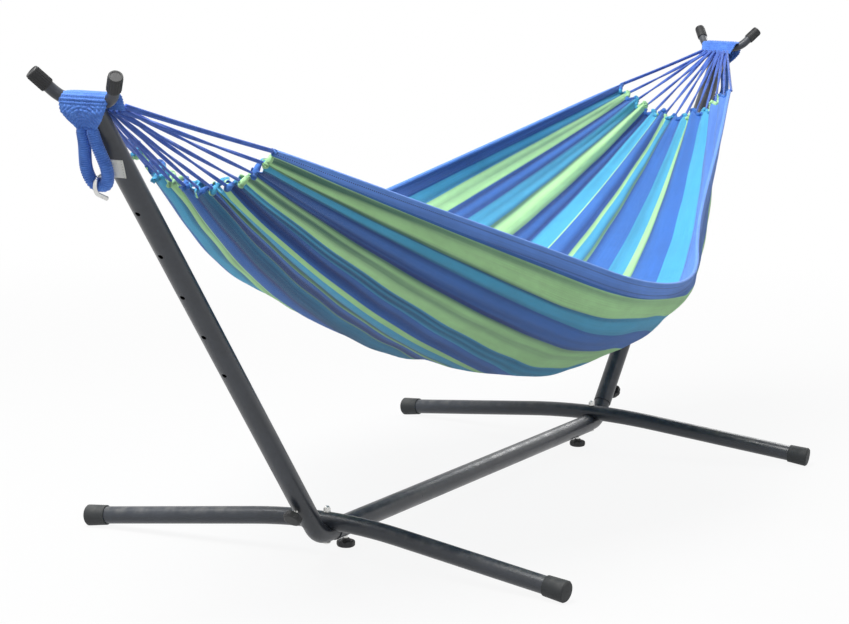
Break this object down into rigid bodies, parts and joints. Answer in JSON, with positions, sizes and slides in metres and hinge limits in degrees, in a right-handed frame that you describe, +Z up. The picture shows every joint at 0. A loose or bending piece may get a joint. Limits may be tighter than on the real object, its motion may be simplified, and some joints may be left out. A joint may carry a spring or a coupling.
{
  "type": "hammock on stand",
  "caption": "Striped fabric hammock slung by cords and clew bands from the forked masts of a tubular steel stand with splayed cross feet.",
  "frame": {"origin": "centre of the stand on the floor, at the bottom of the bounding box", "axes": "+X along the stand and the hammock from the near mast to the far mast, +Y to the left across the bed, +Z up"},
  "size_m": [3.157, 1.164, 1.0601],
  "materials": {
    "stand_paint": "satin dark grey powder coat",
    "cap_rubber": "moulded dark grey rubber",
    "cap_plastic": "ribbed black plastic",
    "knob_plastic": "moulded black plastic",
    "zinc": "bright zinc plated",
    "blue_cord": "royal blue twisted cotton cord",
    "tag_cloth": "blank white cloth tape",
    "hem_cloth": "rolled and stitched royal blue hem",
    "bed_cloth": "woven stripes of royal blue, turquoise and pale green"
  },
  "bodies": {
    "stand": {"centre_beam": "stand_paint", "elbow_near": "stand_paint", "foot_tube_near": "stand_paint", "mast_near": "stand_paint", "fork_near": "stand_paint", "foot_caps_near": "cap_rubber", "fork_caps_near": "cap_plastic", "weld_nuts_near": "zinc", "foot_bolt_near": "zinc", "cap_nut_near": "zinc", "loop_hook_near": "zinc", "clew_band_near": "blue_cord", "hanging_loop_near": "blue_cord", "tag_near": "tag_cloth", "elbow_far": "stand_paint", "foot_tube_far": "stand_paint", "mast_far": "stand_paint", "fork_far": "stand_paint", "foot_caps_far": "cap_rubber", "fork_caps_far": "cap_plastic", "weld_nuts_far": "zinc", "foot_bolt_far": "zinc", "cap_nut_far": "zinc", "loop_hook_far": "zinc", "clew_band_far": "blue_cord", "hanging_loop_far": "blue_cord", "tag_far": "tag_cloth"},
    "hammock": {"hammock_bed": "bed_cloth", "side_hems": "hem_cloth", "end_hem_near": "hem_cloth", "clew_cords_near": "blue_cord", "end_hem_far": "hem_cloth", "clew_cords_far": "blue_cord"},
    "mast_knob_near_turning": {"mast_knob_near": "knob_plastic", "mast_knob_bolt_near": "zinc"},
    "beam_knob_near_turning": {"beam_knob_near": "knob_plastic", "beam_knob_bolt_near": "zinc"},
    "mast_knob_far_turning": {"mast_knob_far": "knob_plastic", "mast_knob_bolt_far": "zinc"},
    "beam_knob_far_turning": {"beam_knob_far": "knob_plastic", "beam_knob_bolt_far": "zinc"}
  },
  "joints": [
    {"name": "hammock_swing", "type": "hinge", "parent": "stand", "child": "hammock", "pos_m": [0, 0, 1], "axis": [1, 0, 0], "range_deg": [-25, 25]},
    {"name": "mast_knob_near_turn", "type": "hinge", "parent": "stand", "child": "mast_knob_near_turning", "pos_m": [-0.79004, 0, 0.13969], "axis": [-0.7604, 0, -0.6494], "continuous": true},
    {"name": "beam_knob_near_turn", "type": "hinge", "parent": "stand", "child": "beam_knob_near_turning", "pos_m": [-0.6, 0, 0.053], "axis": [0, 0, -1], "continuous": true},
    {"name": "mast_knob_far_turn", "type": "hinge", "parent": "stand", "child": "mast_knob_far_turning", "pos_m": [0.79004, 0, 0.13969], "axis": [0.7604, 0, -0.6494], "continuous": true},
    {"name": "beam_knob_far_turn", "type": "hinge", "parent": "stand", "child": "beam_knob_far_turning", "pos_m": [0.6, 0, 0.053], "axis": [0, 0, -1], "continuous": true}
  ]
}
